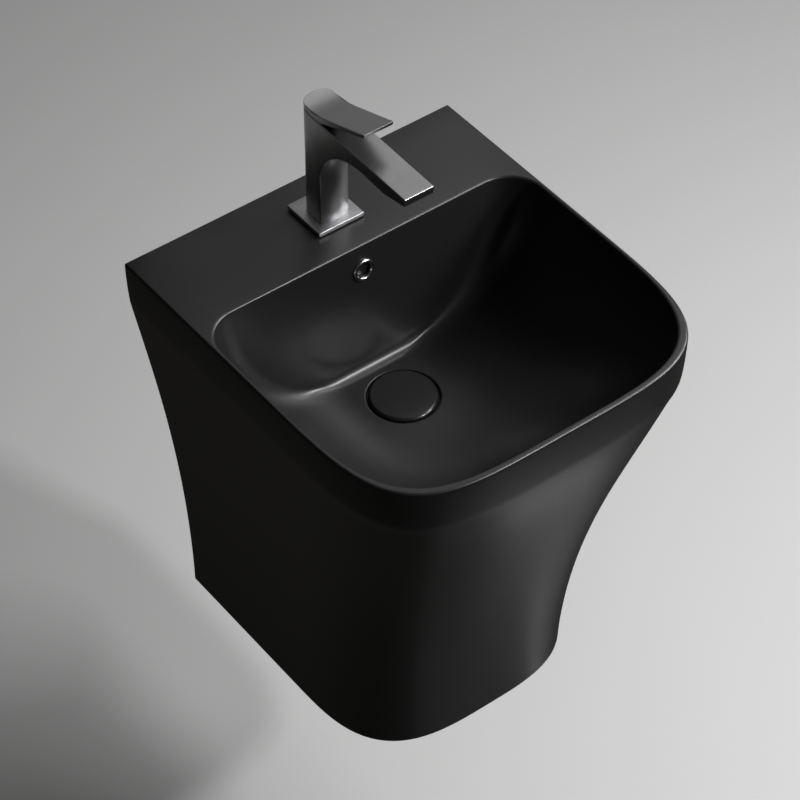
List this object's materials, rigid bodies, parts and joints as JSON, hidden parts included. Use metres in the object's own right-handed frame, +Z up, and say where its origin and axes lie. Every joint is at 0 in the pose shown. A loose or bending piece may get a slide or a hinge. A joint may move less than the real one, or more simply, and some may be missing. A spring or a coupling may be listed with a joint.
{
  "type": "wall-hung basin",
  "caption": "Wall-hung basin with a half pedestal, a single-lever mixer, a click waste with a round cap, an overflow and a bottle trap behind the skirt.",
  "frame": {"origin": "midpoint between the two wall-bolt holes, on the wall plane", "axes": "+X to the right as seen from the room, +Y into the wall, +Z up; the rim is at z = 0.075"},
  "size_m": [0.4, 0.44, 0.6686],
  "materials": {
    "glaze": "matte black glaze",
    "black_cap": "matte black coating",
    "gunmetal": "satin gunmetal plating",
    "plate": "brushed",
    "ring": "dark chrome",
    "steel": "zinc-plated or stainless",
    "brass": "plain turned brass",
    "white_plastic": "moulded white plastic",
    "grey_plastic": "moulded grey plastic",
    "rubber": "black rubber",
    "disc": "lapped alumina ceramic"
  },
  "bodies": {
    "basin": {"basin_body": "glaze", "half_pedestal": "glaze", "overflow_ring": "ring", "fixing_sleeves": "white_plastic", "fixing_washers": "steel", "fixing_nuts": "steel", "click_spring": "steel", "click_housing": "grey_plastic", "waste_body": "brass", "flange_seal": "rubber", "cone_seal": "rubber", "waste_washer": "grey_plastic", "waste_nut": "brass", "trap_inlet_nut": "white_plastic", "trap_inlet_washer": "rubber", "trap_dip_tube": "white_plastic", "trap_top_nut": "white_plastic", "trap_top_washer": "rubber", "trap_head": "white_plastic", "trap_cup": "white_plastic", "trap_cup_seal": "rubber", "trap_outlet_nut": "white_plastic", "trap_outlet_washer": "rubber", "trap_outlet_pipe": "white_plastic", "wall_flange": "white_plastic", "mixer_body": "gunmetal", "base_plate": "plate", "base_seal": "rubber", "mixer_stud": "steel", "horseshoe_rubber": "rubber", "horseshoe_plate": "steel", "stud_nut": "brass", "cartridge_seal": "rubber", "cartridge_housing": "grey_plastic", "fixed_disc": "disc", "cartridge_nut": "brass", "aerator_housing": "gunmetal", "aerator_insert": "grey_plastic", "aerator_seal": "rubber"},
    "swivel": {"cartridge_carrier": "grey_plastic", "cartridge_pin": "steel"},
    "lever": {"mixer_lever": "gunmetal", "lever_screw": "steel", "cartridge_stem": "brass"},
    "disc": {"moving_disc": "disc"},
    "plug": {"waste_cap": "black_cap", "cap_seal": "rubber", "waste_plunger": "steel"}
  },
  "joints": [
    {"name": "lever_swivel", "type": "hinge", "parent": "basin", "child": "swivel", "pos_m": [0, -0.06, 0.185], "axis": [0, 0, 1], "range_deg": [-45, 45]},
    {"name": "lever_lift", "type": "hinge", "parent": "swivel", "child": "lever", "pos_m": [0, -0.06, 0.185], "axis": [-1, 0, 0], "range_deg": [0, 15]},
    {"name": "disc_slide", "type": "slide", "parent": "swivel", "child": "disc", "axis": [0, -1, 0], "range_m": [0, 0.0031]},
    {"name": "plug_slide", "type": "slide", "parent": "basin", "child": "plug", "axis": [0, 0, 1], "range_m": [0, 0.009], "deforming": ["click_spring"]}
  ],
  "couplings": [
    {"joint": "disc_slide", "follows": "lever_lift", "m_per_rad": 0.0115}
  ]
}
